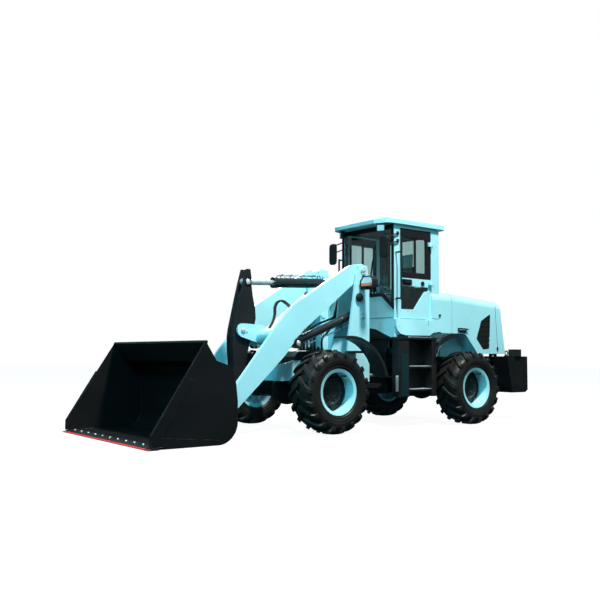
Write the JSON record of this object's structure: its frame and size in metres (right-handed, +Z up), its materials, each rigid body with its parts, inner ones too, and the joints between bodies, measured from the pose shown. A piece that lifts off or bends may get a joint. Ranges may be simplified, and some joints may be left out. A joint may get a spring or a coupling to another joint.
{
  "type": "wheel loader",
  "caption": "Articulated battery wheel loader with a cab, a Z-bar boom and bucket, lift, tilt and steering cylinders, hinged doors and hood, and lugged tyres.",
  "frame": {"origin": "on the ground under the middle of the machine's box, with the frame straight and the bucket flat on the ground", "axes": "+X forward along the machine, +Y to its left, +Z up"},
  "size_m": [6.76, 2.352, 2.94],
  "materials": {
    "teal_paint": "gloss turquoise paint",
    "black_paint": "satin black paint",
    "steel": "worn steel",
    "chrome": "hard chrome rod",
    "rubber": "matt rubber",
    "glass": "tinted glass",
    "trim": "matt black plastic",
    "lamp": "clear lens",
    "red_lens": "red lens",
    "vinyl": "black vinyl",
    "cast": "painted casting"
  },
  "bodies": {
    "rear_frame": {"rear_chassis": "black_paint", "rear_axle": "cast", "drive_unit": "black_paint", "battery_pack": "black_paint", "counterweight": "cast", "cab_frame": "teal_paint", "cab_roof": "teal_paint", "cab_glass": "glass", "seat": "vinyl", "console": "trim", "side_boxes": "black_paint", "step_treads": "steel", "rear_fenders": "teal_paint", "rear_guards": "trim", "cowl": "teal_paint", "mirrors": "trim", "work_lamps": "lamp", "grab_rails": "trim", "rear_lamps": "red_lens"},
    "front_frame": {"front_frame": "teal_paint", "front_axle": "cast", "front_fenders": "trim", "headlamps": "lamp"},
    "boom": {"boom": "teal_paint"},
    "bellcrank": {"bellcrank": "black_paint"},
    "tilt_link": {"tilt_link": "black_paint"},
    "bucket": {"bucket": "black_paint", "cutting_edge": "steel"},
    "lift_barrel_left": {"lift_barrel_left": "black_paint"},
    "lift_rod_left": {"lift_rod_left": "chrome"},
    "lift_barrel_right": {"lift_barrel_right": "black_paint"},
    "lift_rod_right": {"lift_rod_right": "chrome"},
    "tilt_barrel": {"tilt_barrel": "black_paint"},
    "tilt_rod": {"tilt_rod": "chrome"},
    "steer_barrel_left": {"steer_barrel_left": "black_paint"},
    "steer_rod_left": {"steer_rod_left": "chrome"},
    "steer_barrel_right": {"steer_barrel_right": "black_paint"},
    "steer_rod_right": {"steer_rod_right": "chrome"},
    "hood": {"hood": "teal_paint", "hood_vents": "trim"},
    "door_left": {"door_left": "teal_paint", "door_left_glass": "glass"},
    "door_right": {"door_right": "teal_paint", "door_right_glass": "glass"},
    "wheel_front_left": {"tyre_front_left": "rubber", "rim_front_left": "teal_paint"},
    "wheel_front_right": {"tyre_front_right": "rubber", "rim_front_right": "teal_paint"},
    "wheel_rear_left": {"tyre_rear_left": "rubber", "rim_rear_left": "teal_paint"},
    "wheel_rear_right": {"tyre_rear_right": "rubber", "rim_rear_right": "teal_paint"}
  },
  "joints": [
    {"name": "articulation", "type": "hinge", "parent": "rear_frame", "child": "front_frame", "pos_m": [-0.496, 0, 0.7], "axis": [0, 0, 1], "range_deg": [-35, 35]},
    {"name": "lift", "type": "hinge", "parent": "front_frame", "child": "boom", "pos_m": [-0.078, 0, 2.122], "axis": [0, -1, 0], "range_deg": [-2, 70]},
    {"name": "tilt", "type": "hinge", "parent": "boom", "child": "bucket", "pos_m": [2.13, 0, 0.25], "axis": [0, 1, 0], "range_deg": [-40, 110]},
    {"name": "crank", "type": "hinge", "parent": "boom", "child": "bellcrank", "pos_m": [1.56, 0, 1.28], "axis": [0, -1, 0], "range_deg": [-5.96, 15.51]},
    {"name": "link", "type": "hinge", "parent": "bucket", "child": "tilt_link", "pos_m": [2.20745, 0, 0.49433], "axis": [0, -1, 0], "range_deg": [-29.9, 81.34]},
    {"name": "lift_barrel_left", "type": "hinge", "parent": "front_frame", "child": "lift_barrel_left", "pos_m": [-0.07, 0.39, 1.54], "axis": [0, -1, 0], "range_deg": [-2.37, 65.8]},
    {"name": "lift_rod_left", "type": "slide", "parent": "lift_barrel_left", "child": "lift_rod_left", "axis": [0.9306, 0, -0.3661], "range_m": [-0.021, 0.659]},
    {"name": "lift_barrel_right", "type": "hinge", "parent": "front_frame", "child": "lift_barrel_right", "pos_m": [-0.07, -0.39, 1.54], "axis": [0, -1, 0], "range_deg": [-2.37, 65.8]},
    {"name": "lift_rod_right", "type": "slide", "parent": "lift_barrel_right", "child": "lift_rod_right", "axis": [0.9306, 0, -0.3661], "range_m": [-0.021, 0.659]},
    {"name": "tilt_barrel", "type": "hinge", "parent": "front_frame", "child": "tilt_barrel", "pos_m": [0.147, 0, 1.969], "axis": [0, -1, 0], "range_deg": [-2.6, 74.17]},
    {"name": "tilt_rod", "type": "slide", "parent": "tilt_barrel", "child": "tilt_rod", "axis": [0.9988, 0, -0.048], "range_m": [-0.162, 0.06]},
    {"name": "steer_barrel_left", "type": "hinge", "parent": "rear_frame", "child": "steer_barrel_left", "pos_m": [-1.11, 0.36, 0.7], "axis": [0, 0, 1], "range_deg": [-7.87, 7.87]},
    {"name": "steer_rod_left", "type": "slide", "parent": "steer_barrel_left", "child": "steer_rod_left", "axis": [0.9993, -0.0366, 0], "range_m": [-0.202, 0.202]},
    {"name": "steer_barrel_right", "type": "hinge", "parent": "rear_frame", "child": "steer_barrel_right", "pos_m": [-1.11, -0.36, 0.7], "axis": [0, 0, 1], "range_deg": [-7.87, 7.87]},
    {"name": "steer_rod_right", "type": "slide", "parent": "steer_barrel_right", "child": "steer_rod_right", "axis": [0.9993, 0.0366, 0], "range_m": [-0.202, 0.202]},
    {"name": "spin_front_left", "type": "hinge", "parent": "front_frame", "child": "wheel_front_left", "pos_m": [0.79, 0.892, 0.522], "axis": [0, 1, 0], "continuous": true},
    {"name": "spin_front_right", "type": "hinge", "parent": "front_frame", "child": "wheel_front_right", "pos_m": [0.79, -0.892, 0.522], "axis": [0, 1, 0], "continuous": true},
    {"name": "spin_rear_left", "type": "hinge", "parent": "rear_frame", "child": "wheel_rear_left", "pos_m": [-1.782, 0.892, 0.522], "axis": [0, 1, 0], "continuous": true},
    {"name": "spin_rear_right", "type": "hinge", "parent": "rear_frame", "child": "wheel_rear_right", "pos_m": [-1.782, -0.892, 0.522], "axis": [0, 1, 0], "continuous": true},
    {"name": "door_left_swing", "type": "hinge", "parent": "rear_frame", "child": "door_left", "pos_m": [-1.386, 0.588, 2.14], "axis": [0, 0, 1], "range_deg": [0, 85]},
    {"name": "door_right_swing", "type": "hinge", "parent": "rear_frame", "child": "door_right", "pos_m": [-1.386, -0.588, 2.14], "axis": [0, 0, -1], "range_deg": [0, 85]},
    {"name": "hood_tilt", "type": "hinge", "parent": "rear_frame", "child": "hood", "pos_m": [-3.048, 0, 1.003], "axis": [0, -1, 0], "range_deg": [0, 50]}
  ],
  "couplings": [
    {"joint": "crank", "follows": "tilt", "ratio": 0.13646},
    {"joint": "link", "follows": "tilt", "ratio": 0.73492},
    {"joint": "lift_barrel_left", "follows": "lift", "ratio": 0.93284},
    {"joint": "lift_rod_left", "follows": "lift", "m_per_rad": 0.53802},
    {"joint": "lift_barrel_right", "follows": "lift", "ratio": 0.93284},
    {"joint": "lift_rod_right", "follows": "lift", "m_per_rad": 0.53802},
    {"joint": "tilt_barrel", "follows": "lift", "ratio": 1.0524},
    {"joint": "tilt_rod", "follows": "tilt", "m_per_rad": -0.083225},
    {"joint": "steer_barrel_left", "follows": "articulation", "ratio": 0.2106},
    {"joint": "steer_rod_left", "follows": "articulation", "m_per_rad": -0.32722},
    {"joint": "steer_barrel_right", "follows": "articulation", "ratio": 0.2106},
    {"joint": "steer_rod_right", "follows": "articulation", "m_per_rad": 0.32722}
  ]
}
